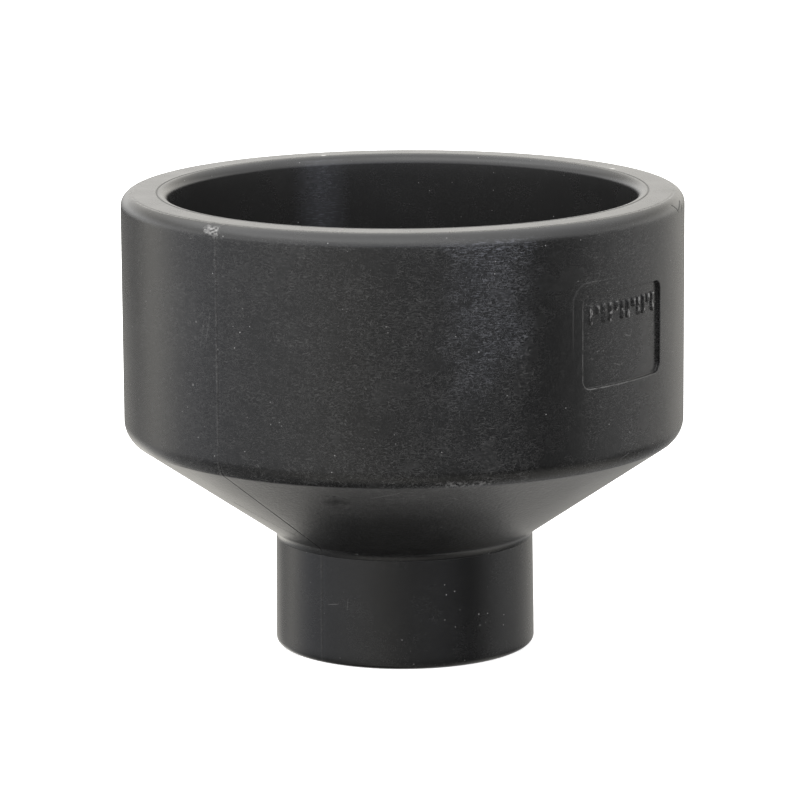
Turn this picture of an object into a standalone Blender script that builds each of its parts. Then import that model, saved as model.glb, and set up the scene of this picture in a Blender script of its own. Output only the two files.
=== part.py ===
"""Concentric socket-fusion pipe reducer, 75 mm to 32 mm, moulded in one piece of black polyethylene.

The reducer stands on its small end. The origin is the centre of that end's flat face, and +Z runs up
the common axis of both sockets, out of the large one. +X points out of the marking pocket, which is
the way one mould half opens, so the two parting lines lie on -Y and +Y.
"""

import math

import bmesh
import bpy
from mathutils import Vector

MM = 0.001

# Driving dimensions, in millimetres
HEIGHT = 73.0
LARGE_OUTER_RADIUS = 44.5
LARGE_MOUTH_RADIUS = 37.1
LARGE_ROOT_RADIUS = 36.6
LARGE_SOCKET_DEPTH = 31.0
SMALL_OUTER_RADIUS = 20.65
SMALL_TOP_RADIUS = 20.5
NECK_RADIUS = 20.3
SMALL_MOUTH_RADIUS = 15.7
SMALL_ROOT_RADIUS = 15.55
SMALL_SOCKET_DEPTH = 18.0
THROAT_RADIUS = 30.5
BORE_RADIUS = 12.75

# Heights of the corners between the cup, the cone and the small end
CUP_BOTTOM_Z = 34.75
NECK_Z = 18.36
SMALL_TOP_Z = 17.3
THROAT_BOTTOM_Z = 34.6
BORE_TOP_Z = 22.8

# The rounding under the cup stops short of the cone, which leaves a crisp ring
CUT_SHORT = 0.8

# Marking pocket in the side of the cup: its floor follows the cup, with raised marks near its top edge
POCKET_WIDTH = 19.4
POCKET_HEIGHT = 14.4
POCKET_CENTRE_Z = 54.65
POCKET_CORNER_RADIUS = 1.4
POCKET_DEPTH = 0.55
MARK_TOP_MARGIN = 1.6
MARK_HEIGHT = 3.0
MARK_RISE = 0.3
MARK_STROKE = 0.6
MARK_PITCH = 1.42
MARK_SHARES = (1.0, 0.5, 1.0, 1.0, 0.5, 1.0, 1.0, 0.5, 1.0, 1.0, 0.5, 1.0)

TURN_STEPS = 72
PLASTIC = {"color": (0.012, 0.012, 0.013, 1.0), "roughness": 0.42, "metallic": 0.0}


def clear_scene():
    for old in list(bpy.data.objects):
        bpy.data.objects.remove(old, do_unlink=True)


def new_collection(name, hidden=False):
    collection = bpy.data.collections.new(name)
    collection.hide_render = hidden
    bpy.context.scene.collection.children.link(collection)
    return collection


def black_polyethylene():
    material = bpy.data.materials.new("black_polyethylene")
    material.use_nodes = True
    shader = material.node_tree.nodes["Principled BSDF"]
    shader.inputs["Base Color"].default_value = PLASTIC["color"]
    shader.inputs["Roughness"].default_value = PLASTIC["roughness"]
    shader.inputs["Metallic"].default_value = PLASTIC["metallic"]
    return material


def rounded_corner(before, corner, after, radius, segments, reach=1.0):
    """Points along this share of the arc that is tangent to both lines meeting at the corner."""
    if radius == 0.0:
        return [corner]
    to_before = (before - corner).normalized()
    to_after = (after - corner).normalized()
    half_angle = to_before.angle(to_after) / 2
    tangent_length = radius / math.tan(half_angle)
    centre = corner + (to_before + to_after).normalized() * (radius / math.sin(half_angle))
    start = corner + to_before * tangent_length - centre
    end = corner + to_after * tangent_length - centre
    sweep = start.angle(end)
    points = []
    for step in range(segments + 1):
        share = reach * step / segments
        blend = (start * math.sin((1 - share) * sweep) + end * math.sin(share * sweep)) / math.sin(sweep)
        points.append(centre + blend)
    return points


def body_profile():
    """The wall's section as (radius, height) in millimetres: down the outside, then up the inside."""
    large_root_z = HEIGHT - LARGE_SOCKET_DEPTH
    corners = (  # radius, height, rounding radius, segments in the rounding, share of it that is kept
        (LARGE_OUTER_RADIUS, HEIGHT, 2.0, 4, 1.0),
        (LARGE_OUTER_RADIUS, CUP_BOTTOM_Z, 3.8, 4, CUT_SHORT),
        (NECK_RADIUS, NECK_Z, 1.95, 4, 1.0),
        (NECK_RADIUS, SMALL_TOP_Z, 0.0, 0, 1.0),
        (SMALL_TOP_RADIUS, SMALL_TOP_Z, 0.0, 0, 1.0),
        (SMALL_OUTER_RADIUS, 0.0, 1.0, 3, 1.0),
        (SMALL_MOUTH_RADIUS, 0.0, 0.9, 3, 1.0),
        (SMALL_ROOT_RADIUS, SMALL_SOCKET_DEPTH, 0.4, 2, 1.0),
        (BORE_RADIUS, SMALL_SOCKET_DEPTH, 0.4, 2, 1.0),
        (BORE_RADIUS, BORE_TOP_Z, 2.0, 2, 1.0),
        (THROAT_RADIUS, THROAT_BOTTOM_Z, 2.0, 2, 1.0),
        (THROAT_RADIUS, large_root_z, 0.4, 2, 1.0),
        (LARGE_ROOT_RADIUS, large_root_z, 0.4, 2, 1.0),
        (LARGE_MOUTH_RADIUS, HEIGHT, 2.0, 4, 1.0),
    )
    points = []
    for index, (radius, height, rounding, segments, reach) in enumerate(corners):
        before = Vector(corners[index - 1][:2])
        after = Vector(corners[(index + 1) % len(corners)][:2])
        points += rounded_corner(before, Vector((radius, height)), after, rounding, segments, reach)
    return points


def turned_body(collection, material):
    """The whole fitting as one turned solid, from its closed wall section."""
    profile = body_profile()
    mesh = bpy.data.meshes.new("reducer_body")
    vertices = [(radius * MM, 0.0, height * MM) for radius, height in profile]
    edges = [(index, (index + 1) % len(profile)) for index in range(len(profile))]
    mesh.from_pydata(vertices, edges, [])
    mesh.materials.append(material)
    body = bpy.data.objects.new("reducer_body", mesh)
    collection.objects.link(body)
    screw = body.modifiers.new("turned", "SCREW")
    screw.axis = "Z"
    screw.steps = TURN_STEPS
    screw.render_steps = TURN_STEPS
    screw.use_merge_vertices = True
    screw.merge_threshold = 0.00001
    screw.use_smooth_shade = True
    return body


def pocket_floor_x(y):
    """How far out the pocket's floor lies at this Y. The floor is a cylinder round the fitting's axis."""
    return math.sqrt((LARGE_OUTER_RADIUS - POCKET_DEPTH) ** 2 - y**2)


def block(low, high):
    """A closed box between two corners given in millimetres, as a bmesh in metres."""
    shape = bmesh.new()
    bmesh.ops.create_cube(shape, size=1.0)
    size = (Vector(high) - Vector(low)) * MM
    bmesh.ops.scale(shape, vec=size, verts=shape.verts)
    bmesh.ops.translate(shape, vec=(Vector(high) + Vector(low)) / 2 * MM, verts=shape.verts)
    return shape


def helper_object(name, shape, collection):
    mesh = bpy.data.meshes.new(name)
    shape.to_mesh(mesh)
    shape.free()
    helper = bpy.data.objects.new(name, mesh)
    helper.display_type = "WIRE"
    helper.hide_render = True
    collection.objects.link(helper)
    return helper


def pocket_core(collection):
    """What the pocket's cutter leaves standing: a drum as wide as the pocket's floor."""
    shape = bmesh.new()
    bmesh.ops.create_cone(
        shape,
        cap_ends=True,
        segments=TURN_STEPS,
        radius1=(LARGE_OUTER_RADIUS - POCKET_DEPTH) * MM,
        radius2=(LARGE_OUTER_RADIUS - POCKET_DEPTH) * MM,
        depth=2 * POCKET_HEIGHT * MM,
    )
    bmesh.ops.translate(shape, vec=(0.0, 0.0, POCKET_CENTRE_Z * MM), verts=shape.verts)
    return helper_object("pocket_core", shape, collection)


def pocket_cutter(collection):
    """A block with its four edges along X rounded, from the pocket's floor out past the cup's wall."""
    half_width = POCKET_WIDTH / 2
    half_height = POCKET_HEIGHT / 2
    low = (LARGE_OUTER_RADIUS - 5.0, -half_width, POCKET_CENTRE_Z - half_height)
    high = (LARGE_OUTER_RADIUS + 5.0, half_width, POCKET_CENTRE_Z + half_height)
    shape = block(low, high)
    along_x = [edge for edge in shape.edges if abs(edge.verts[0].co.x - edge.verts[1].co.x) > MM]
    bmesh.ops.bevel(
        shape, geom=along_x, offset=POCKET_CORNER_RADIUS * MM, segments=4, profile=0.5, affect="EDGES"
    )
    cutter = helper_object("pocket_cutter", shape, collection)
    add_boolean(cutter, "floor", "DIFFERENCE", pocket_core(collection))
    return cutter


def raised_marks(collection):
    """A row of plain upright bars on the pocket's floor, long and short, that hang from one line."""
    row_top = POCKET_CENTRE_Z + POCKET_HEIGHT / 2 - MARK_TOP_MARGIN
    first_y = -MARK_PITCH * (len(MARK_SHARES) - 1) / 2
    marks = bmesh.new()
    for index, share in enumerate(MARK_SHARES):
        middle_y = first_y + index * MARK_PITCH
        floor_x = pocket_floor_x(middle_y)
        low = (floor_x - 0.5, middle_y - MARK_STROKE / 2, row_top - MARK_HEIGHT * share)
        high = (floor_x + MARK_RISE, middle_y + MARK_STROKE / 2, row_top)
        bar = block(low, high)
        mesh = bpy.data.meshes.new("bar")
        bar.to_mesh(mesh)
        bar.free()
        marks.from_mesh(mesh)
        bpy.data.meshes.remove(mesh)
    return helper_object("raised_marks", marks, collection)


def add_boolean(body, name, operation, helper):
    boolean = body.modifiers.new(name, "BOOLEAN")
    boolean.operation = operation
    boolean.solver = "EXACT"
    boolean.object = helper


def main():
    clear_scene()
    parts = new_collection("pipe_reducer")
    cutters = new_collection("cutters", hidden=True)
    body = turned_body(parts, black_polyethylene())
    add_boolean(body, "pocket", "DIFFERENCE", pocket_cutter(cutters))
    add_boolean(body, "marks", "UNION", raised_marks(cutters))


main()
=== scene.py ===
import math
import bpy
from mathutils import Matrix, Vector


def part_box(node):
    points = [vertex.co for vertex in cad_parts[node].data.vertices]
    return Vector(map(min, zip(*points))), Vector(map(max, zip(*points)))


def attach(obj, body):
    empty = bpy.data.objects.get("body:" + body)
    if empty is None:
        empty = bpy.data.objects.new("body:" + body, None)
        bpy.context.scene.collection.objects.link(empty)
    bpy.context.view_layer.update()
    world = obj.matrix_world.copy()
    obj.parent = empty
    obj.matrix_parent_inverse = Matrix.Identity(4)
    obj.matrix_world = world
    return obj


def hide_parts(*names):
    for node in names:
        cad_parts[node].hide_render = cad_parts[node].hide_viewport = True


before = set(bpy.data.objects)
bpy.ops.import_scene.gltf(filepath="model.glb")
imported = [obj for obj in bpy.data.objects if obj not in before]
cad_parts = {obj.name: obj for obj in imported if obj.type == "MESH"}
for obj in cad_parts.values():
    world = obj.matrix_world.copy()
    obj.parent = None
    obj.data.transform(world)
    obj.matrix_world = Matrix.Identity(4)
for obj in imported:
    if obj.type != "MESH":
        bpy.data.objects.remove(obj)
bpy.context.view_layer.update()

# Looks of a socket-fusion pipe reducer, moulded in one piece of black polyethylene.
#
# The whole fitting is one piece on the body "root". Its surface is turned from a fine section, and the
# marking pocket is set into a window that is left open in the cup's wall. Sizes here are in millimetres
# and become metres when the mesh is made. Angles run from +X, which points out of the pocket, to +Y.
# The mould's parting lines are at -Y and +Y.

from types import SimpleNamespace

import bpy
from mathutils import Matrix, Vector, geometry, noise

MM = 0.001
_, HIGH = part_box("reducer_body")
HEIGHT = HIGH.z / MM
CUP_RADIUS = HIGH.x / MM

# The section's corners
CUP_BOTTOM_Z = 34.75
NECK_RADIUS = 20.45
NECK_Z = 18.36
SMALL_TOP_RADIUS = 20.5
SMALL_TOP_Z = 17.45
SMALL_FOOT_RADIUS = 20.65
SMALL_MOUTH_RADIUS = 15.7
SMALL_ROOT_RADIUS = 15.55
SMALL_ROOT_Z = 18.0
BORE_RADIUS = 12.75
BORE_TOP_Z = 22.8
THROAT_RADIUS = 30.5
THROAT_BOTTOM_Z = 34.6
LARGE_ROOT_RADIUS = 36.6
LARGE_ROOT_Z = 42.0
LARGE_MOUTH_RADIUS = 37.1
CONE_TOP_RADIUS = 43.4
CONE_TOP_Z = 34.09
RIM_ROUNDING = 2.0
CUP_ROUNDING = 3.8
CUP_ROUNDING_REACH = 0.8
NECK_ROUNDING = 1.95
NECK_FOOT = 0.12
MOUTH_ROUNDING = 1.5

# The fine groove round the large mouth, where two parts of the mould met
GROOVE_RADIUS = 38.78
GROOVE_HALF_WIDTH = 0.14
GROOVE_HALF_FLOOR = 0.04
GROOVE_DEPTH = 0.1

# The ridge of a parting line with the shallow sink beside it, and the gate's cut-off stub on the rim
RIDGE_RISE = 0.05
RIDGE_HALF_WIDTH = 0.13
SINK_DEPTH = 0.03
SINK_HALF_WIDTH = 0.22
SINK_ASIDE = 0.32
RIDGE_FADE = 1.5
STUB_START = -3.1
STUB_END = 1.3
STUB_RISE = 0.07
STUB_HEIGHT = 1.7

# The marking pocket
POCKET_HALF_WIDTH = 9.7
POCKET_HALF_HEIGHT = 7.2
POCKET_Z = 54.65
POCKET_CORNER = 1.4
POCKET_DEPTH = 0.55
POCKET_EDGE = 0.13
POCKET_FOOT = 0.08
MARK_TOP_MARGIN = 1.6
MARK_HEIGHT = 3.0
MARK_RISE = 0.3
MARK_STROKE = 0.6
MARK_PITCH = 1.42
MARK_EDGE = 0.1
MARK_SHARES = (1.0, 0.5, 1.0, 1.0, 0.5, 1.0, 1.0, 0.5, 1.0, 1.0, 0.5, 1.0)
WINDOW_HALF_ANGLE = 16.2
WINDOW_HALF_HEIGHT = 10.0


class Skin:
    """Points, faces and crisp edges of one mesh while it is being built."""

    def __init__(self):
        self.points = []
        self.faces = []
        self.crisp = []

    def add(self, points):
        first = len(self.points)
        self.points.extend(points)
        return list(range(first, len(self.points)))

    def bridge(self, outer, inner):
        """Quads between two closed rings of as many points, both anticlockwise seen from outside."""
        count = len(outer)
        for index in range(count):
            ahead = (index + 1) % count
            self.faces.append((outer[index], outer[ahead], inner[ahead], inner[index]))

    def mark_crisp(self, ring):
        for index, point in enumerate(ring):
            self.crisp.append((point, ring[(index + 1) % len(ring)]))

    def to_object(self, name):
        mesh = bpy.data.meshes.new(name)
        mesh.from_pydata([tuple(MM * value for value in point) for point in self.points], [], self.faces)
        mesh.shade_smooth()
        crisp = {frozenset(pair) for pair in self.crisp}
        sharp = mesh.attributes.new("sharp_edge", "BOOLEAN", "EDGE")
        sharp.data.foreach_set("value", [frozenset(edge.vertices) in crisp for edge in mesh.edges])
        mesh.update()
        made = bpy.data.objects.new(name, mesh)
        bpy.context.scene.collection.objects.link(made)
        return made


def rounded_corner(before, corner, after, radius, pieces, reach):
    """Points along this share of the arc that is tangent to both lines meeting at the corner."""
    if radius == 0.0:
        return [corner]
    to_before = (before - corner).normalized()
    to_after = (after - corner).normalized()
    half_angle = to_before.angle(to_after) / 2
    tangent_length = radius / math.tan(half_angle)
    centre = corner + (to_before + to_after).normalized() * (radius / math.sin(half_angle))
    start = corner + to_before * tangent_length - centre
    end = corner + to_after * tangent_length - centre
    sweep = start.angle(end)
    points = []
    for step in range(pieces + 1):
        share = reach * step / pieces
        blend = (start * math.sin((1 - share) * sweep) + end * math.sin(share * sweep)) / math.sin(sweep)
        points.append(centre + blend)
    return points


def section():
    """The wall's closed section, down the outside and up the inside, and the rows that end crisply."""
    # Radius, height, rounding, its pieces, its reach, spacing of the run after it, whether it ends crisply
    corners = (
        (CUP_RADIUS, HEIGHT, RIM_ROUNDING, 14, 1.0, 0.8, False),
        (CUP_RADIUS, CUP_BOTTOM_Z, CUP_ROUNDING, 14, CUP_ROUNDING_REACH, 0.8, True),
        (NECK_RADIUS, NECK_Z, NECK_ROUNDING, 8, 1.0, 1.0, False),
        (NECK_RADIUS, SMALL_TOP_Z + NECK_FOOT, 0.0, 0, 1.0, 1.0, False),
        (SMALL_TOP_RADIUS, SMALL_TOP_Z, 0.0, 0, 1.0, 1.0, True),
        (SMALL_FOOT_RADIUS, 0.0, 1.0, 8, 1.0, 2.0, False),
        (SMALL_MOUTH_RADIUS, 0.0, 0.9, 8, 1.0, 3.0, False),
        (SMALL_ROOT_RADIUS, SMALL_ROOT_Z, 0.4, 3, 1.0, 2.0, False),
        (BORE_RADIUS, SMALL_ROOT_Z, 0.4, 3, 1.0, 2.0, False),
        (BORE_RADIUS, BORE_TOP_Z, 2.0, 5, 1.0, 2.5, False),
        (THROAT_RADIUS, THROAT_BOTTOM_Z, 2.0, 6, 1.0, 2.0, False),
        (THROAT_RADIUS, LARGE_ROOT_Z, 0.4, 4, 1.0, 2.0, False),
        (LARGE_ROOT_RADIUS, LARGE_ROOT_Z, 0.4, 4, 1.0, 2.0, False),
        (LARGE_MOUTH_RADIUS, HEIGHT, MOUTH_ROUNDING, 14, 1.0, 1.0, False),
        (GROOVE_RADIUS - GROOVE_HALF_WIDTH, HEIGHT, 0.0, 0, 1.0, 1.0, True),
        (GROOVE_RADIUS - GROOVE_HALF_FLOOR, HEIGHT - GROOVE_DEPTH, 0.0, 0, 1.0, 1.0, False),
        (GROOVE_RADIUS + GROOVE_HALF_FLOOR, HEIGHT - GROOVE_DEPTH, 0.0, 0, 1.0, 1.0, False),
        (GROOVE_RADIUS + GROOVE_HALF_WIDTH, HEIGHT, 0.0, 0, 1.0, 1.0, True),
    )
    places = [Vector((corner[0], corner[1])) for corner in corners]
    arcs = []
    for index, (_, _, rounding, pieces, reach, _, _) in enumerate(corners):
        before = places[index - 1]
        after = places[(index + 1) % len(places)]
        arcs.append(rounded_corner(before, places[index], after, rounding, pieces, reach))
    rows = []
    crisp = []
    for index, arc in enumerate(arcs):
        rows += arc
        if corners[index][6]:
            crisp.append(len(rows) - 1)
        run = arcs[(index + 1) % len(arcs)][0] - arc[-1]
        parts = max(1, round(run.length / corners[index][5]))
        rows += [arc[-1] + run * (part / parts) for part in range(1, parts)]
    return rows, crisp


def column_angles():
    """Angles in degrees of the mesh's columns: finer at the pocket and finest at the parting lines."""
    spans = (  # start, end, number of steps
        (-WINDOW_HALF_ANGLE, WINDOW_HALF_ANGLE, 38),
        (WINDOW_HALF_ANGLE, 84.0, 40),
        (84.0, 88.7, 10),
        (88.7, 91.3, 20),
        (91.3, 96.0, 10),
        (96.0, 264.0, 96),
        (264.0, 266.2, 6),
        (266.2, 268.7, 12),
        (268.7, 271.3, 20),
        (271.3, 276.0, 12),
        (276.0, 360.0 - WINDOW_HALF_ANGLE, 40),
    )
    angles = []
    for start, end, steps in spans:
        angles += [start + (end - start) * step / steps for step in range(steps)]
    return angles


def on_cup(angle, height):
    """The point of the cup's wall at this angle in degrees and height."""
    turn = math.radians(angle)
    return (CUP_RADIUS * math.cos(turn), CUP_RADIUS * math.sin(turn), height)


def rough(x, y, z, size):
    """Smooth noise between about -1 and 1 with features of this size in millimetres."""
    return noise.noise(Vector((x, y, z)) / size)


def relief(angle, row, rows, outside):
    """How far the surface stands out of the plain section here, in millimetres."""
    if not outside:
        return 0.0
    radius, height = rows[row]
    lift = 0.0
    for line in (90.0, 270.0):
        aside = math.radians(angle - line) * radius
        if abs(aside) < 1.5:
            uneven = 0.75 + 0.5 * rough(height, line, radius, 1.6)
            lift += RIDGE_RISE * uneven * math.exp(-((aside / RIDGE_HALF_WIDTH) ** 2))
            lift -= SINK_DEPTH * math.exp(-(((aside - SINK_ASIDE) / SINK_HALF_WIDTH) ** 2))
    lift *= max(0.0, min(1.0, height / RIDGE_FADE, (HEIGHT - height) / RIDGE_FADE))
    aside = math.radians(angle - 270.0) * radius
    on_rounding = height > HEIGHT - STUB_HEIGHT and radius > CUP_RADIUS - STUB_HEIGHT
    if on_rounding and STUB_START < aside < STUB_END:
        along = min(1.0, (aside - STUB_START) / 0.8, (STUB_END - aside) / 0.5)
        lift += STUB_RISE * along * (0.5 + 1.0 * rough(aside, height, radius, 0.5))
    return lift


def outward(rows, row):
    """The section's outward direction at a row, from its two neighbours."""
    run = rows[(row + 1) % len(rows)] - rows[row - 1]
    return Vector((-run.y, run.x)).normalized()


def rounded_outline(half_width, half_height, corner, across, upright, quarter):
    """A rounded rectangle, anticlockwise from the middle of its lower left corner's arc.

    Its lower and upper sides have as many steps as across says and the other two as upright says, with
    quarter of them in each half of a corner.
    """
    points = []
    sides = (
        ((-1, -1), (1, -1), across, 225.0),
        ((1, -1), (1, 1), upright, 315.0),
        ((1, 1), (-1, 1), across, 45.0),
        ((-1, 1), (-1, -1), upright, 135.0),
    )
    for start, end, steps, turn in sides:
        first = Vector((start[0] * (half_width - corner), start[1] * (half_height - corner)))
        last = Vector((end[0] * (half_width - corner), end[1] * (half_height - corner)))
        for step in range(quarter):
            angle = math.radians(turn + 45.0 * step / quarter)
            points.append(first + corner * Vector((math.cos(angle), math.sin(angle))))
        angle = math.radians(turn + 45.0)
        edge = corner * Vector((math.cos(angle), math.sin(angle)))
        straight = steps - 2 * quarter
        for step in range(straight):
            points.append(first + (last - first) * (step / straight) + edge)
        for step in range(quarter):
            angle = math.radians(turn + 45.0 + 45.0 * step / quarter)
            points.append(last + corner * Vector((math.cos(angle), math.sin(angle))))
    return points


def pocket_floor_x(y):
    """How far out the pocket's floor lies at this Y: it is a cylinder round the fitting's axis."""
    return math.sqrt((CUP_RADIUS - POCKET_DEPTH) ** 2 - y**2)


def pocket_outline(grow, across, upright):
    """The pocket's outline as (Y, Z) points, grown by this much on every side."""
    outline = rounded_outline(
        POCKET_HALF_WIDTH + grow, POCKET_HALF_HEIGHT + grow, POCKET_CORNER + grow, across, upright, 4
    )
    return [(point.x, point.y + POCKET_Z) for point in outline]


def add_marks(skin):
    """A row of plain upright bars that rise from the pocket's floor. Returns the rings at their feet."""
    row_top = POCKET_Z + POCKET_HALF_HEIGHT - MARK_TOP_MARGIN
    first_y = -MARK_PITCH * (len(MARK_SHARES) - 1) / 2
    feet = []
    for index, share in enumerate(MARK_SHARES):
        middle_y = first_y + index * MARK_PITCH
        half_height = MARK_HEIGHT * share / 2
        middle_z = row_top - half_height
        rings = []
        steps = (  # growth of the outline, rise above the floor
            (MARK_EDGE, 0.0),
            (0.35 * MARK_EDGE, 0.2 * MARK_EDGE),
            (0.0, MARK_EDGE),
            (-0.02, MARK_RISE - MARK_EDGE),
            (-0.02 - 0.3 * MARK_EDGE, MARK_RISE - 0.3 * MARK_EDGE),
            (-0.02 - MARK_EDGE, MARK_RISE),
        )
        for grow, rise in steps:
            outline = rounded_outline(MARK_STROKE / 2 + grow, half_height + grow, 0.2 + grow, 5, 8, 2)
            spots = [(middle_y + point.x, middle_z + point.y) for point in outline]
            rings.append(skin.add([(pocket_floor_x(y) + rise, y, z) for y, z in spots]))
        for outer, inner in zip(rings, rings[1:]):
            skin.bridge(outer, inner)
        skin.faces.append(tuple(rings[-1]))
        skin.mark_crisp(rings[0])
        feet.append(rings[0])
    return feet


def floor_spots():
    """Points spread over the pocket's floor below the bars and between them, as (Y, Z)."""
    row_top = POCKET_Z + POCKET_HALF_HEIGHT - MARK_TOP_MARGIN
    first_gap = -MARK_PITCH * len(MARK_SHARES) / 2
    spots = []
    for step in range(len(MARK_SHARES) + 1):
        y = first_gap + MARK_PITCH * step
        spots += [(y, row_top + 0.7 - 1.4 * drop) for drop in range(4)]
    for step in range(-11, 12):
        spots += [(step * 0.8, POCKET_Z - POCKET_HALF_HEIGHT + 1.0 + 1.5 * rise) for rise in range(6)]
    return spots


def fill_floor(skin, border, feet):
    """Triangles on the pocket's floor, inside its border and round the feet of the bars."""
    loose = skin.add([(pocket_floor_x(y), y, z) for y, z in floor_spots()])
    loops = [border] + feet
    order = [point for loop in loops for point in loop] + loose
    flat = [Vector(skin.points[point][1:]) for point in order]
    edges = []
    owner = []
    for number, loop in enumerate(loops):
        first = len(owner)
        owner += [number] * len(loop)
        edges += [(first + step, first + (step + 1) % len(loop)) for step in range(len(loop))]
    owner += [0] * len(loose)
    _, _, triangles, origins, _, _ = geometry.delaunay_2d_cdt(flat, edges, [], 1, 1e-6)
    for triangle in triangles:
        ends = [origins[corner][0] for corner in triangle]
        owners = {owner[end] for end in ends}
        if len(owners) > 1 or owners == {0}:
            skin.faces.append(tuple(order[end] for end in ends))


def add_pocket(skin, window, spots, across, upright):
    """Everything between the window's border and the pocket's floor."""
    brim = []
    for y, _ in pocket_outline(POCKET_EDGE, across, upright):
        brim.append(math.degrees(math.asin(y / CUP_RADIUS)))
    brim_z = [z for _, z in pocket_outline(POCKET_EDGE, across, upright)]
    previous = window
    for share in (0.25, 0.5, 0.75, 0.92, 1.0):
        ring = []
        for (angle, z), end_angle, end_z in zip(spots, brim, brim_z):
            ring.append(on_cup(angle + (end_angle - angle) * share, z + (end_z - z) * share))
        current = skin.add(ring)
        skin.bridge(previous, current)
        previous = current
    skin.mark_crisp(previous)
    steps = (  # growth of the outline, how far below the cup's surface
        (0.45 * POCKET_EDGE, 0.2 * POCKET_EDGE),
        (0.1 * POCKET_EDGE, 0.5 * POCKET_EDGE),
        (0.0, POCKET_EDGE),
    )
    for grow, sunk in steps:
        ring = []
        for y, z in pocket_outline(grow, across, upright):
            ring.append((math.sqrt(CUP_RADIUS**2 - y**2) - sunk, y, z))
        current = skin.add(ring)
        skin.bridge(previous, current)
        previous = current
    steps = (  # growth of the outline, rise above the floor
        (-0.03, POCKET_FOOT),
        (-0.03 - 0.1 * POCKET_FOOT, 0.5 * POCKET_FOOT),
        (-0.03 - 0.45 * POCKET_FOOT, 0.15 * POCKET_FOOT),
        (-0.03 - POCKET_FOOT, 0.0),
    )
    for grow, rise in steps:
        ring = [(pocket_floor_x(y) + rise, y, z) for y, z in pocket_outline(grow, across, upright)]
        current = skin.add(ring)
        skin.bridge(previous, current)
        previous = current
    skin.mark_crisp(previous)
    fill_floor(skin, previous, add_marks(skin))


def reducer_skin():
    """The whole fitting: the turned surface with its window, and the pocket that fills the window."""
    rows, crisp = section()
    angles = column_angles()
    columns = len(angles)
    last_outside = max(
        row for row, spot in enumerate(rows) if spot.y < 0.01 and spot.x > SMALL_FOOT_RADIUS - 1.1
    )
    skin = Skin()
    for row, spot in enumerate(rows):
        out = outward(rows, row)
        ring = []
        for angle in angles:
            lift = relief(angle % 360.0, row, rows, row <= last_outside)
            radius = spot.x + out.x * lift
            turn = math.radians(angle)
            ring.append((radius * math.cos(turn), radius * math.sin(turn), spot.y + out.y * lift))
        skin.add(ring)

    wall = [i for i, spot in enumerate(rows) if i <= last_outside and abs(spot.x - CUP_RADIUS) < 1e-3]
    inside = [i for i in wall if abs(rows[i].y - POCKET_Z) < WINDOW_HALF_HEIGHT]
    top, bottom = inside[0], inside[-1]
    across = 38
    upright = bottom - top
    for row in range(len(rows)):
        below = (row + 1) % len(rows)
        for column in range(columns):
            if top <= row < bottom and column < across:
                continue
            beside = (column + 1) % columns
            skin.faces.append(
                (
                    row * columns + column,
                    below * columns + column,
                    below * columns + beside,
                    row * columns + beside,
                )
            )
    for row in crisp:
        skin.mark_crisp([row * columns + column for column in range(columns)])

    grid = [(bottom, column) for column in range(across)]
    grid += [(row, across) for row in range(bottom, top, -1)]
    grid += [(top, column) for column in range(across, 0, -1)]
    grid += [(row, 0) for row in range(top, bottom)]
    window = [row * columns + column for row, column in grid]
    spots = [(angles[column], rows[row].y) for row, column in grid]
    add_pocket(skin, window, spots, across, upright)
    return skin


def build_reducer():
    reducer = reducer_skin().to_object("pipe_reducer")
    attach(reducer, "root")
    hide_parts("reducer_body")
    return reducer


class Graph:
    """Short calls that add nodes to a node tree and join them."""

    def __init__(self, tree):
        self.tree = tree

    def node(self, kind):
        return self.tree.nodes.new(kind)

    def link(self, source, socket):
        if isinstance(source, bpy.types.NodeSocket):
            self.tree.links.new(source, socket)
        else:
            socket.default_value = source

    def math(self, operation, *values):
        made = self.node("ShaderNodeMath")
        made.operation = operation
        for value, socket in zip(values, made.inputs):
            self.link(value, socket)
        return made.outputs[0]

    def total(self, first, *others):
        for other in others:
            first = self.math("ADD", first, other)
        return first

    def product(self, first, *others):
        for other in others:
            first = self.math("MULTIPLY", first, other)
        return first

    def largest(self, first, *others):
        for other in others:
            first = self.math("MAXIMUM", first, other)
        return first

    def vector(self, operation, *values):
        made = self.node("ShaderNodeVectorMath")
        made.operation = operation
        for value, socket in zip(values, made.inputs):
            self.link(value, socket)
        return made.outputs["Value" if operation in ("DOT_PRODUCT", "LENGTH", "DISTANCE") else "Vector"]

    def split(self, vector):
        made = self.node("ShaderNodeSeparateXYZ")
        self.link(vector, made.inputs[0])
        return made.outputs

    def between(self, value, low, high):
        """0 where value is at low or beyond it, 1 at high, and straight between them."""
        made = self.node("ShaderNodeMapRange")
        self.link(value, made.inputs["Value"])
        made.inputs["From Min"].default_value = low
        made.inputs["From Max"].default_value = high
        return made.outputs["Result"]

    def mix(self, share, first, second):
        made = self.node("ShaderNodeMix")
        made.data_type = "RGBA"
        self.link(share, made.inputs[0])
        self.link(first, made.inputs[6])
        self.link(second, made.inputs[7])
        return made.outputs[2]


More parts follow.
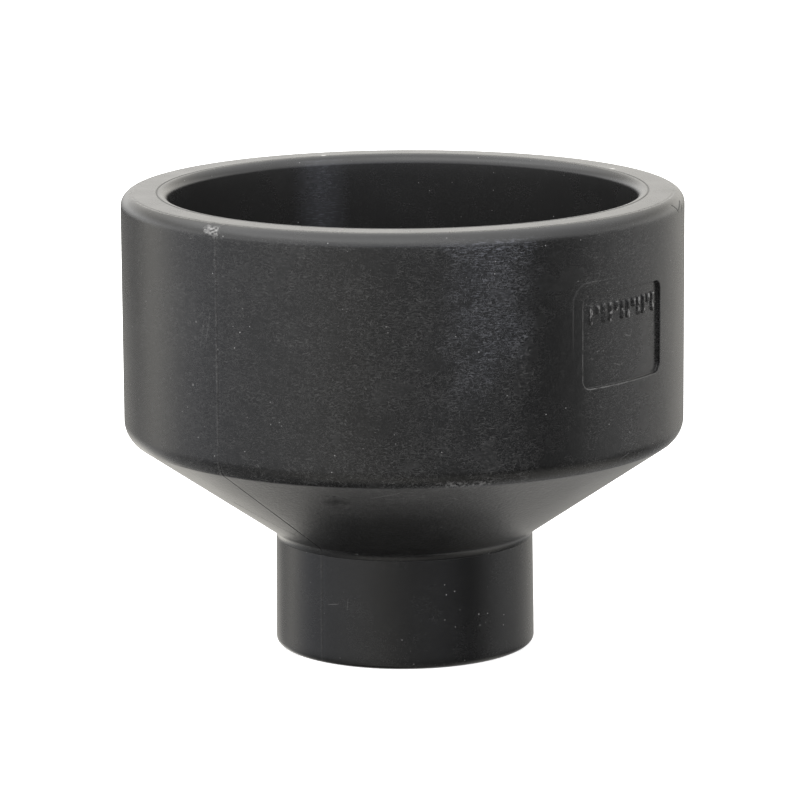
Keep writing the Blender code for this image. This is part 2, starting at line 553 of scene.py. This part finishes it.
class Plastic(Graph):
    """Nodes that see the fitting's own position, in millimetres."""

    def __init__(self, tree):
        super().__init__(tree)
        local = self.node("ShaderNodeTexCoord").outputs["Object"]
        self.spot = self.vector("MULTIPLY", local, (1 / MM, 1 / MM, 1 / MM))
        self.x, self.y, self.z = self.split(self.spot)
        squares = [self.product(value, value) for value in (self.x, self.y)]
        self.radius = self.math("SQRT", self.total(*squares))
        self.angle = self.math("DEGREES", self.math("ARCTAN2", self.y, self.x))
        self.made = 0

    def off(self, value, middle):
        """How far the value is from the middle, either way."""
        return self.math("ABSOLUTE", self.math("SUBTRACT", value, middle))

    def weighted(self, *pairs):
        """The sum of each pair's value times its weight."""
        return self.total(*[self.product(value, weight) for value, weight in pairs])

    def grain(self, size, detail=2.0, curl=0.0, stretch=(1.0, 1.0, 1.0)):
        """Noise round 0.5 with features of about this size, longer along axes with a small stretch."""
        self.made += 1
        noise_node = self.node("ShaderNodeTexNoise")
        scale = tuple(factor / size for factor in stretch)
        apart = (7.3 * self.made, -5.1 * self.made, 3.7 * self.made)
        self.link(self.vector("MULTIPLY_ADD", self.spot, scale, apart), noise_node.inputs["Vector"])
        noise_node.inputs["Scale"].default_value = 1.0
        noise_node.inputs["Detail"].default_value = detail
        noise_node.inputs["Distortion"].default_value = curl
        return noise_node.outputs["Fac"]

    def hairs(self, size, half_width, curl, stretch=(1.0, 1.0, 1.0)):
        """1 along thin curved lines, 0 away from them."""
        return self.between(self.off(self.grain(size, 1.0, curl, stretch), 0.5), half_width, 0.0)

    def specks(self, spacing, reach, share):
        """1 inside small round spots. Only this share of the texture's cells holds one."""
        cells = self.node("ShaderNodeTexVoronoi")
        self.link(self.spot, cells.inputs["Vector"])
        cells.inputs["Scale"].default_value = 1.0 / spacing
        kept = self.between(self.split(cells.outputs["Color"])[0], share, share - 0.01)
        reach = reach / spacing
        return self.product(self.between(cells.outputs["Distance"], reach, 0.4 * reach), kept)

    def near(self, centre, reach, edge=0.5):
        """1 near a point of the surface, and 0 beyond a soft edge at this reach in millimetres."""
        apart = self.vector("DISTANCE", self.spot, centre)
        return self.between(apart, reach * (1 + edge), reach * (1 - edge))

    def outline(self, grow, corner, half_line):
        """1 along a rounded rectangle round the pocket, grown by this much, 0 off its line."""
        offsets = (
            self.math("SUBTRACT", self.off(self.y, 0.0), POCKET_HALF_WIDTH + grow - corner),
            self.math("SUBTRACT", self.off(self.z, POCKET_Z), POCKET_HALF_HEIGHT + grow - corner),
        )
        squares = []
        for offset in offsets:
            beyond = self.math("MAXIMUM", offset, 0.0)
            squares.append(self.product(beyond, beyond))
        inner = self.math("MINIMUM", self.math("MAXIMUM", *offsets), 0.0)
        apart = self.total(self.math("SQRT", self.total(*squares)), inner, -corner)
        line = self.between(self.off(apart, 0.0), half_line, 0.3 * half_line)
        return self.product(line, self.between(self.x, 38.0, 39.0))

    def scratch(self, start, end, half_width):
        """1 along the straight line between two points, 0 farther from it than its half width."""
        run = Vector(end) - Vector(start)
        offset = self.vector("SUBTRACT", self.spot, start)
        along = self.vector("DOT_PRODUCT", offset, tuple(run / run.length_squared))
        along = self.between(along, 0.0, 1.0)
        scaled = self.node("ShaderNodeVectorMath")
        scaled.operation = "SCALE"
        scaled.inputs[0].default_value = run
        self.link(along, scaled.inputs["Scale"])
        apart = self.vector("DISTANCE", offset, scaled.outputs["Vector"])
        return self.between(apart, half_width, 0.3 * half_width)


def around(angle, radius, height):
    """A point in millimetres from its angle in degrees, its distance from the axis and its height."""
    turn = math.radians(angle)
    return (radius * math.cos(turn), radius * math.sin(turn), height)


FLOOR_RADIUS = CUP_RADIUS - POCKET_DEPTH

# Single light scratches: start, end, half width, strength
SCRATCHES = (
    (around(-57.5, 40.2, 31.9), around(-51.5, 41.9, 33.05), 0.13, 0.5),
    (around(-54.5, 39.9, 31.7), around(-46.0, 40.6, 32.2), 0.12, 0.5),
    (around(-49.5, 42.2, 33.3), around(-43.5, 42.6, 33.6), 0.12, 0.4),
    (around(-92.8, CUP_RADIUS, 55.0), around(-91.6, CUP_RADIUS, 59.5), 0.09, 0.3),
    (around(-94.4, CUP_RADIUS, 54.2), around(-93.2, CUP_RADIUS, 58.4), 0.08, 0.25),
    (around(-90.1, 44.4, 36.4), around(-90.5, 43.5, 34.2), 0.16, 0.5),
    (around(0.4, FLOOR_RADIUS, 54.6), around(1.9, FLOOR_RADIUS, 54.3), 0.12, 0.5),
    (around(1.9, FLOOR_RADIUS, 54.3), around(2.3, FLOOR_RADIUS, 55.3), 0.1, 0.4),
    (around(-3.4, FLOOR_RADIUS, 50.6), around(-1.6, FLOOR_RADIUS, 50.2), 0.1, 0.4),
    (around(147.5, 36.8, 70.0), around(137.5, 36.8, 68.3), 0.1, 0.35),
    (around(137.5, 36.8, 68.3), around(127.0, 36.8, 67.6), 0.1, 0.3),
    (around(-86.0, 20.6, 9.8), around(-81.5, 20.6, 10.0), 0.12, 0.4),
    (around(-76.2, 20.6, 11.0), around(-76.6, 20.6, 9.3), 0.1, 0.35),
)

# Small pale flecks: centre, reach, strength
FLECKS = (
    (around(-9.7, 44.5, 72.1), 0.16, 0.8),
    (around(70.4, 39.6, 73.0), 0.4, 1.0),
    (around(149.0, 39.2, 72.95), 0.4, 1.0),
    (around(-16.2, 20.6, 8.1), 0.13, 0.3),
    (around(-15.6, 20.6, 6.3), 0.11, 0.25),
    (around(-53.4, CUP_RADIUS, 58.2), 0.12, 0.12),
    (around(-95.5, CUP_RADIUS, 57.7), 0.16, 0.2),
    (around(-96.7, CUP_RADIUS, 47.8), 0.18, 0.2),
    (around(-8.2, FLOOR_RADIUS, 52.9), 0.11, 0.15),
    (around(-6.6, FLOOR_RADIUS, 52.9), 0.11, 0.15),
)

# Dents that catch less light: start, end, half width
DENTS = (
    (around(20.6, 44.0, 72.6), around(23.9, 44.5, 71.0), 0.22),
    (around(24.3, 44.4, 71.3), around(28.4, 44.2, 72.3), 0.22),
    (around(26.9, 44.5, 70.6), around(28.0, 44.5, 71.6), 0.2),
    (around(-1.8, 44.2, 35.6), around(0.6, 44.4, 36.2), 0.14),
    (around(-104.4, 32.84, 26.9), around(-94.6, 24.4, 21.15), 0.16),
)


# Where the marks of use and the painted highlights and reflection lie: angles in degrees, everything else
# in millimetres
SMUDGE_ANGLE = -66.1
SMUDGE_RADIUS = 38.46
SMUDGE_Z = 30.7
SMUDGE_REACH = 1.5
# The patch of the cup's wall with a painted bluish highlight over its streaks
HIGHLIGHT_PATCH_MIDDLE_ANGLE = -26.0
HIGHLIGHT_PATCH_FOOT_Z = 55.5
HIGHLIGHT_PATCH_FOOT_SLOPE = 0.61
CLEAN_ANGLE = -18.5
# The angle of the painted bluish highlight on the rim's rounding
RIM_HIGHLIGHT_ANGLE = -31.0
SCUFF_ANGLE = -38.0
# The angle of the painted bluish reflection on the socket's inside wall
BORE_REFLECTION_ANGLE = 151.0
BRIM_RADIUS = CUP_RADIUS - 1.75

BLACK = (0.003, 0.003, 0.003, 1.0)
PALE = (0.62, 0.61, 0.6, 1.0)
# The tint of the painted highlights and the painted reflection
PAINTED_HIGHLIGHT_TINT = (0.55, 0.58, 0.7, 1.0)


def surface_masks(plastic):
    """Masks that are 1 on one of the fitting's surfaces and fade out past its ends."""
    wall = plastic.product(
        plastic.between(plastic.radius, 42.9, 43.6),
        plastic.between(plastic.z, 33.9, 34.3),
        plastic.between(plastic.z, HEIGHT - 0.8, HEIGHT - 2.0),
    )
    rim = plastic.product(
        plastic.between(plastic.z, HEIGHT - 3.0, HEIGHT - 1.8),
        plastic.between(plastic.radius, 42.0, 42.6),
    )
    slope = (CONE_TOP_RADIUS - NECK_RADIUS) / (CONE_TOP_Z - NECK_Z)
    above_neck = plastic.math("SUBTRACT", plastic.z, NECK_Z)
    cone_line = plastic.math("MULTIPLY_ADD", above_neck, slope, NECK_RADIUS)
    cone = plastic.product(
        plastic.between(plastic.off(plastic.radius, cone_line), 2.4, 1.6),
        plastic.between(plastic.z, 34.3, 33.9),
        plastic.between(plastic.z, NECK_Z - 0.3, NECK_Z + 1.5),
    )
    small = plastic.product(
        plastic.between(plastic.z, SMALL_TOP_Z + 0.1, SMALL_TOP_Z),
        plastic.between(plastic.radius, 20.0, 20.3),
    )
    mouth = plastic.product(
        plastic.between(plastic.radius, 37.6, 37.4),
        plastic.between(plastic.z, 43.0, 48.0),
    )
    return SimpleNamespace(wall=wall, rim=rim, cone=cone, small=small, mouth=mouth)


def handling_marks(plastic):
    """Fine curved scratches, and finer ones that run round the cup, with dots and streaks among them."""
    cloudy = plastic.between(plastic.grain(8.0, 3.0), 0.3, 0.7)
    broken = plastic.grain(1.6, 2.0)
    curled = plastic.product(plastic.hairs(0.5, 0.03, 1.0), plastic.between(broken, 0.4, 0.56))
    level = plastic.product(
        plastic.hairs(0.3, 0.04, 0.5, stretch=(0.35, 0.35, 1.0)),
        plastic.between(broken, 0.62, 0.42),
    )
    hairs = plastic.largest(curled, level)
    dots = plastic.between(plastic.grain(0.28, 1.0), 0.54, 0.74)
    streaks = plastic.between(plastic.grain(0.17, 1.0, stretch=(0.16, 0.16, 1.0)), 0.52, 0.72)
    return SimpleNamespace(cloudy=cloudy, broken=broken, hairs=hairs, dots=dots, streaks=streaks)


def wear_and_painted_light_marks(plastic, on, fine):
    """Where the surface has rubbed on something and where it has stayed clean, with painted highlights, a
    painted reflection and painted light under the cup's edge among them.
    """
    uneven = plastic.product(plastic.math("SUBTRACT", plastic.grain(3.0, 3.0), 0.5), 14.0)
    bent = plastic.total(plastic.angle, uneven)

    # A patch of the cup with denser streaks, painted with a bluish highlight: its lower edge runs aslant
    aside = plastic.math("SUBTRACT", bent, HIGHLIGHT_PATCH_MIDDLE_ANGLE)
    patch_foot = plastic.math("MULTIPLY_ADD", aside, HIGHLIGHT_PATCH_FOOT_SLOPE, HIGHLIGHT_PATCH_FOOT_Z)
    scratched_highlight_patch = plastic.product(
        plastic.between(bent, -43.0, -35.5),
        plastic.between(bent, -23.0, -29.0),
        plastic.between(plastic.math("SUBTRACT", plastic.z, patch_foot), -3.0, 3.0),
        on.wall,
    )
    # Painted highlight: the patch's streaks, hairs and dots are tinted pale bluish
    painted_highlight_on_scratches = plastic.product(
        scratched_highlight_patch,
        plastic.total(plastic.weighted((fine.streaks, 1.3), (fine.hairs, 1.6), (fine.dots, 0.3)), 0.1),
    )
    # Painted highlight: pale bluish streaks on the rim's rounding
    painted_rim_highlight = plastic.product(
        plastic.between(plastic.z, 68.3, 69.8),
        plastic.between(plastic.z, HEIGHT - 0.6, HEIGHT - 1.4),
        plastic.between(plastic.radius, 43.3, 43.8),
        plastic.between(plastic.off(bent, RIM_HIGHLIGHT_ANGLE), 11.0, 6.0),
        fine.streaks,
    )

    clean = plastic.between(plastic.off(bent, CLEAN_ANGLE), 8.0, 4.5)
    haze = plastic.product(
        plastic.total(1.0, plastic.product(clean, -0.6)),
        plastic.weighted((fine.hairs, 1.9), (fine.streaks, 0.4)),
        plastic.total(0.45, plastic.product(fine.cloudy, 0.55)),
        plastic.total(0.3, plastic.product(on.wall, 0.7)),
    )

    # The dull spot on the cone faces a little more downwards than the cone round it
    smudge = plastic.near(around(SMUDGE_ANGLE, SMUDGE_RADIUS, SMUDGE_Z), SMUDGE_REACH, 0.7)
    tilted = plastic.product(smudge, plastic.math("SUBTRACT", plastic.z, SMUDGE_Z))

    # Painted light: the cone is paler towards the cup's edge, with haze dots and hairs in it, and less so
    # at the smudge
    haze_and_painted_light_under_edge = plastic.product(
        on.cone,
        plastic.between(plastic.z, 26.5, 34.0),
        plastic.total(0.3, plastic.weighted((fine.dots, 0.7), (fine.hairs, 0.9))),
        plastic.total(1.0, plastic.product(smudge, -0.75)),
    )
    along_edge = plastic.off(plastic.total(plastic.z, plastic.product(uneven, 0.06)), 34.6)
    scuffed = plastic.product(
        plastic.between(along_edge, 0.7, 0.2),
        plastic.between(plastic.radius, 42.8, 43.2),
        plastic.between(plastic.off(plastic.angle, SCUFF_ANGLE), 7.0, 4.0),
        plastic.between(plastic.grain(0.5, 2.0), 0.45, 0.6),
    )
    # Painted reflection: pale bluish streaks of a light's reflection on the socket's inside wall
    painted_bore_reflection = plastic.product(
        on.mouth,
        plastic.between(plastic.off(plastic.angle, BORE_REFLECTION_ANGLE), 8.0, 1.0),
        plastic.total(fine.streaks, 0.5),
    )
    dust = plastic.product(
        plastic.specks(1.5, 0.1, 0.9),
        plastic.between(plastic.grain(7.0), 0.45, 0.62),
    )
    return SimpleNamespace(
        scratched_highlight_patch=scratched_highlight_patch,
        painted_highlight_on_scratches=painted_highlight_on_scratches,
        painted_rim_highlight=painted_rim_highlight,
        haze=haze,
        smudge=smudge,
        tilted=tilted,
        haze_and_painted_light_under_edge=haze_and_painted_light_under_edge,
        scuffed=scuffed,
        painted_bore_reflection=painted_bore_reflection,
        dust=dust,
    )


def mould_marks(plastic, on, fine):
    """What the mould left: parting lines in the plane X = 0, the gate's stub, and fine edges."""
    from_line = plastic.off(plastic.x, 0.0)
    line = plastic.product(
        plastic.between(from_line, 0.17, 0.05),
        plastic.total(on.wall, plastic.product(on.small, 0.35)),
        plastic.between(plastic.grain(0.8, 2.0), 0.4, 0.6),
    )
    line_dots = plastic.product(
        plastic.between(from_line, 0.45, 0.2),
        on.wall,
        plastic.specks(0.9, 0.16, 1.0),
        plastic.between(plastic.z, 45.0, 66.0),
    )

    ragged = plastic.math("SUBTRACT", plastic.grain(0.9, 3.0), 0.5)
    bent_foot = plastic.total(plastic.z, plastic.weighted((ragged, 1.6), (plastic.x, 0.3)))
    bent_top = plastic.total(plastic.z, plastic.product(ragged, 1.2))
    gate = plastic.product(
        plastic.between(plastic.total(plastic.x, plastic.product(ragged, 2.2)), -3.0, -2.5),
        plastic.between(plastic.total(plastic.x, plastic.product(ragged, 2.0)), 0.5, 0.1),
        plastic.between(plastic.y, -42.6, -43.0),
        plastic.between(bent_foot, HEIGHT - 2.0, HEIGHT - 1.5),
        plastic.between(bent_top, HEIGHT - 0.3, HEIGHT - 0.6),
        plastic.between(plastic.grain(0.3, 2.0, stretch=(0.5, 0.5, 1.0)), 0.4, 0.62),
    )

    witness = plastic.product(
        plastic.between(plastic.off(plastic.radius, GROOVE_RADIUS), 0.2, 0.1),
        plastic.between(plastic.z, HEIGHT - 0.5, HEIGHT - 0.4),
    )
    # The flat of the large end stops at a fine step before its outer rounding
    brim = plastic.product(
        plastic.between(plastic.off(plastic.radius, BRIM_RADIUS), 0.25, 0.0),
        plastic.between(plastic.z, HEIGHT - 1.0, HEIGHT - 0.7),
        plastic.between(fine.broken, 0.3, 0.5),
    )
    return SimpleNamespace(
        line=line, line_dots=line_dots, gate=gate, rough_gate=plastic.product(gate, ragged),
        witness=witness, brim=brim,
    )


def pocket_marks(plastic):
    """A painted highlight along two sides of the pocket's brim, painted glints on the bars' tops, and a
    faint outline round the pocket.
    """
    # Painted highlight: a pale line along the brim's left and lower sides
    painted_brim_highlight = plastic.product(
        plastic.outline(0.1, POCKET_CORNER + 0.1, 0.14),
        plastic.between(plastic.radius, CUP_RADIUS - 0.3, CUP_RADIUS - 0.2),
        plastic.between(plastic.y, 7.0, -5.0),
        plastic.between(plastic.z, POCKET_Z + 7.0, POCKET_Z + 5.0),
        plastic.between(plastic.grain(0.9, 2.0), 0.3, 0.5),
    )
    ghost = plastic.product(
        plastic.outline(2.0, 3.2, 0.16),
        plastic.between(plastic.y, 0.0, -8.0),
        plastic.between(plastic.z, POCKET_Z - 3.0, POCKET_Z + 3.0),
    )
    from_middle = plastic.off(plastic.y, 0.0)
    # Painted glints: pale spots on the tops of the bars
    glints = plastic.product(
        plastic.between(plastic.radius, FLOOR_RADIUS + 0.1, FLOOR_RADIUS + 0.25),
        plastic.between(plastic.radius, CUP_RADIUS - 0.12, CUP_RADIUS - 0.2),
        plastic.between(from_middle, POCKET_HALF_WIDTH - 0.6, POCKET_HALF_WIDTH - 0.7),
        plastic.between(plastic.z, POCKET_Z + 2.0, POCKET_Z + 2.1),
        plastic.between(plastic.z, POCKET_Z + 6.2, POCKET_Z + 6.1),
        plastic.between(plastic.grain(0.7, 1.0), 0.5, 0.62),
    )
    return SimpleNamespace(painted_brim_highlight=painted_brim_highlight, ghost=ghost, glints=glints)


def single_marks(plastic):
    """The scratches, flecks and dents that are placed one by one."""
    scratches = 0.0
    for start, end, half_width, strength in SCRATCHES:
        scratch = plastic.scratch(start, end, half_width)
        scratches = plastic.largest(scratches, plastic.product(scratch, strength))
    flecks = 0.0
    for centre, reach, strength in FLECKS:
        fleck = plastic.near(centre, reach, 0.4)
        flecks = plastic.largest(flecks, plastic.product(fleck, strength))
    dents = 0.0
    for start, end, half_width in DENTS:
        dents = plastic.largest(dents, plastic.scratch(start, end, half_width))
    return SimpleNamespace(scratches=scratches, flecks=flecks, dents=dents)


def black_polyethylene():
    """The fitting's one material: black plastic, with every mark and every patch of painted light mixed
    over it by its own mask.
    """
    material = bpy.data.materials.new("black_polyethylene")
    material.use_nodes = True
    shader = material.node_tree.nodes["Principled BSDF"]
    plastic = Plastic(material.node_tree)
    on = surface_masks(plastic)
    fine = handling_marks(plastic)
    wear_and_painted_light = wear_and_painted_light_marks(plastic, on, fine)
    mould = mould_marks(plastic, on, fine)
    pocket = pocket_marks(plastic)
    single = single_marks(plastic)

    # Paler colour: haze, dust, flecks, scratches and mould marks, with painted light under the cup's edge,
    # a painted highlight on the pocket's brim and painted glints on the bars
    pale = plastic.weighted(
        (wear_and_painted_light.haze, 0.026),
        (wear_and_painted_light.haze_and_painted_light_under_edge, 0.036),
        (wear_and_painted_light.scuffed, 0.06),
        (wear_and_painted_light.dust, 0.4),
        (single.flecks, 0.5),
        (mould.line, 0.035),
        (mould.line_dots, 0.3),
        (mould.gate, 0.3),
        (pocket.painted_brim_highlight, 0.06),
        (pocket.ghost, 0.012),
        (pocket.glints, 0.12),
        (single.scratches, 0.1),
        (on.mouth, 0.012),
    )
    # Painted highlights and a painted reflection, tinted bluish
    painted_bluish_light = plastic.weighted((wear_and_painted_light.painted_highlight_on_scratches, 0.019), (wear_and_painted_light.painted_bore_reflection, 0.04), (wear_and_painted_light.painted_rim_highlight, 0.035))
    base = plastic.mix(painted_bluish_light, plastic.mix(pale, BLACK, PALE), PAINTED_HIGHLIGHT_TINT)
    plastic.link(base, shader.inputs["Base Color"])

    rougher = plastic.weighted(
        (wear_and_painted_light.haze, 0.02),
        (fine.cloudy, 0.03),
        (on.cone, 0.05),
        (wear_and_painted_light.smudge, 0.1),
        (wear_and_painted_light.dust, 0.4),
        (mould.gate, 0.25),
        (single.dents, 0.2),
        (mould.witness, 0.12),
    )
    plastic.link(plastic.total(0.25, rougher), shader.inputs["Roughness"])

    streaked = plastic.weighted((on.wall, 0.1), (wear_and_painted_light.scratched_highlight_patch, 0.3), (on.rim, 1.0), (on.cone, 1.0))
    height = plastic.weighted(
        (plastic.grain(11.0, 1.0), 0.09),
        (plastic.product(fine.hairs, plastic.total(on.wall, on.cone)), 0.0015),
        (plastic.product(fine.streaks, streaked), 0.006),
        (plastic.product(plastic.grain(0.6, 3.0), on.cone), 0.05),
        (mould.rough_gate, 0.25),
        (pocket.ghost, 0.02),
        (single.scratches, -0.02),
        (single.dents, -0.12),
        (mould.brim, -0.06),
        (wear_and_painted_light.tilted, 0.3),
    )
    bump = plastic.node("ShaderNodeBump")
    plastic.link(height, bump.inputs["Height"])
    bump.inputs["Distance"].default_value = MM
    plastic.link(bump.outputs["Normal"], shader.inputs["Normal"])
    shader.inputs["IOR"].default_value = 1.5
    return material


def build_floor():
    """A plain pale light table, far wider than any view of it."""
    mesh = bpy.data.meshes.new("floor")
    reach = 4.0
    corners = [(-reach, -reach, 0.0), (reach, -reach, 0.0), (reach, reach, 0.0), (-reach, reach, 0.0)]
    mesh.from_pydata(corners, [], [(0, 1, 2, 3)])
    floor = bpy.data.objects.new("floor", mesh)
    bpy.context.scene.collection.objects.link(floor)
    floor.visible_glossy = False
    material = bpy.data.materials.new("pale_floor")
    material.use_nodes = True
    shader = material.node_tree.nodes["Principled BSDF"]
    shader.inputs["Base Color"].default_value = (0.85, 0.85, 0.85, 1.0)
    shader.inputs["Roughness"].default_value = 0.9
    shader.inputs["Specular IOR Level"].default_value = 0.0
    shader.inputs["Emission Color"].default_value = (1.0, 1.0, 1.0, 1.0)
    shader.inputs["Emission Strength"].default_value = 0.6
    mesh.materials.append(material)


CAMERA_AZIMUTH = 39.6


def add_camera():
    """The photograph's view: a long lens, a little above the rim, with the pocket on the right."""
    distance = 0.775
    azimuth = math.radians(CAMERA_AZIMUTH)
    elevation = math.radians(11.5)
    roll = math.radians(-0.36)
    pixels_per_metre = 6277.0
    back = Vector(
        (
            math.sin(azimuth) * math.cos(elevation),
            -math.cos(azimuth) * math.cos(elevation),
            math.sin(elevation),
        )
    )
    lens = bpy.data.cameras.new("camera")
    lens.lens = pixels_per_metre * distance / 800.0 * lens.sensor_width
    lens.shift_x = -0.0049
    lens.shift_y = 0.0198
    lens.clip_start = 0.05
    lens.clip_end = 20.0
    camera = bpy.data.objects.new("camera", lens)
    bpy.context.scene.collection.objects.link(camera)
    facing = (-back).to_track_quat("-Z", "Y").to_matrix().to_4x4()
    centre = Vector((0.0, 0.0, HEIGHT / 2 * MM))
    place = Matrix.Translation(centre + back * distance)
    camera.matrix_world = place @ facing @ Matrix.Rotation(roll, 4, "Z")
    bpy.context.scene.camera = camera


# The studio round the object: rings of brightness at these elevations in degrees. Each ring lists its
# stops as (degrees to the right of the camera's side, brightness, tint).
NEUTRAL = (1.0, 1.0, 1.0)
COOL = (0.97, 0.99, 1.07)
WARM = (1.03, 1.0, 0.93)
STUDIO = (
    (
        -72,
        (
            (0, 0.1, NEUTRAL),
            (60, 0.0, NEUTRAL),
            (120, 0.9, NEUTRAL),
            (180, 0.25, NEUTRAL),
            (240, 0.0, NEUTRAL),
        ),
    ),
    (
        -45,
        (
            (0, 0.65, WARM),
            (36, 0.32, WARM),
            (108, 0.8, WARM),
            (144, 0.6, NEUTRAL),
            (180, 0.75, WARM),
            (216, 0.4, NEUTRAL),
            (288, 0.3, NEUTRAL),
            (324, 0.7, WARM),
        ),
    ),
    (
        -24,
        (
            (0, 0.17, NEUTRAL),
            (30, 0.0, NEUTRAL),
            (65, 0.0, NEUTRAL),
            (90, 0.35, NEUTRAL),
            (112, 0.0, NEUTRAL),
            (157, 0.45, NEUTRAL),
            (180, 1.2, WARM),
            (202, 2.0, WARM),
            (225, 0.9, NEUTRAL),
            (270, 0.2, COOL),
            (337, 0.5, WARM),
        ),
    ),
    (
        -8,
        (
            (0, 0.25, WARM),
            (30, 0.26, NEUTRAL),
            (60, 0.0, NEUTRAL),
            (100, 0.85, NEUTRAL),
            (150, 0.75, WARM),
            (180, 0.3, WARM),
            (200, 0.15, NEUTRAL),
            (222, 0.15, NEUTRAL),
            (240, 1.5, WARM),
            (265, 0.95, COOL),
            (320, 0.85, NEUTRAL),
            (340, 0.52, WARM),
        ),
    ),
    (
        8,
        (
            (0, 1.7, COOL),
            (40, 2.4, COOL),
            (60, 0.7, NEUTRAL),
            (80, 1.7, NEUTRAL),
            (160, 1.6, WARM),
            (220, 1.9, NEUTRAL),
            (290, 2.4, NEUTRAL),
        ),
    ),
    (
        25,
        (
            (0, 2.4, NEUTRAL),
            (45, 2.4, NEUTRAL),
            (90, 1.4, NEUTRAL),
            (135, 0.9, WARM),
            (225, 0.9, WARM),
            (270, 1.8, NEUTRAL),
        ),
    ),
    (
        46,
        (
            (0, 3.6, NEUTRAL),
            (60, 2.2, NEUTRAL),
            (100, 1.8, NEUTRAL),
            (180, 1.8, NEUTRAL),
            (290, 3.9, NEUTRAL),
        ),
    ),
    (
        70,
        (
            (0, 3.2, NEUTRAL),
            (90, 2.5, NEUTRAL),
            (180, 2.2, NEUTRAL),
            (270, 2.8, NEUTRAL),
        ),
    ),
)
BRIGHTEST = 4.0


def ring_ramp(graph, turn, stops):
    """The colour of one ring of the studio, by the share of a full turn."""
    ramp = graph.node("ShaderNodeValToRGB")
    graph.link(turn, ramp.inputs["Fac"])
    elements = ramp.color_ramp.elements
    for angle, _, _ in stops[1:]:
        elements.new(angle / 360)
    ends = stops + (stops[0],)
    for element, (_, brightness, tint) in zip(elements, ends):
        element.color = [brightness / BRIGHTEST * channel for channel in tint] + [1.0]
    return ramp.outputs["Color"]


def add_world():
    world = bpy.data.worlds.new("studio")
    bpy.context.scene.world = world
    world.use_nodes = True
    world.node_tree.nodes.clear()
    graph = Graph(world.node_tree)
    direction = graph.node("ShaderNodeTexCoord").outputs["Generated"]
    x, y, z = graph.split(direction)
    azimuth = graph.math("ARCTAN2", x, graph.math("MULTIPLY", y, -1.0))
    turned = graph.math("SUBTRACT", graph.math("DIVIDE", azimuth, math.tau), CAMERA_AZIMUTH / 360)
    turn = graph.math("FRACT", turned)
    height = graph.math("DEGREES", graph.math("ARCSINE", z))
    colour = None
    below = None
    for elevation, stops in STUDIO:
        ring = ring_ramp(graph, turn, stops)
        if colour is None:
            colour = ring
        else:
            share = graph.between(height, below, elevation)
            colour = graph.mix(share, colour, ring)
        below = elevation
    studio = graph.node("ShaderNodeBackground")
    graph.link(colour, studio.inputs["Color"])
    studio.inputs["Strength"].default_value = BRIGHTEST
    seen = graph.node("ShaderNodeBackground")
    seen.inputs["Color"].default_value = (1.0, 1.0, 1.0, 1.0)
    either = graph.node("ShaderNodeMixShader")
    graph.link(graph.node("ShaderNodeLightPath").outputs["Is Camera Ray"], either.inputs[0])
    graph.link(studio.outputs[0], either.inputs[1])
    graph.link(seen.outputs[0], either.inputs[2])
    out = graph.node("ShaderNodeOutputWorld")
    graph.link(either.outputs[0], out.inputs["Surface"])


bpy.context.scene.view_settings.view_transform = "Standard"
reducer = build_reducer()
reducer.data.materials.append(black_polyethylene())
build_floor()
add_camera()
add_world()
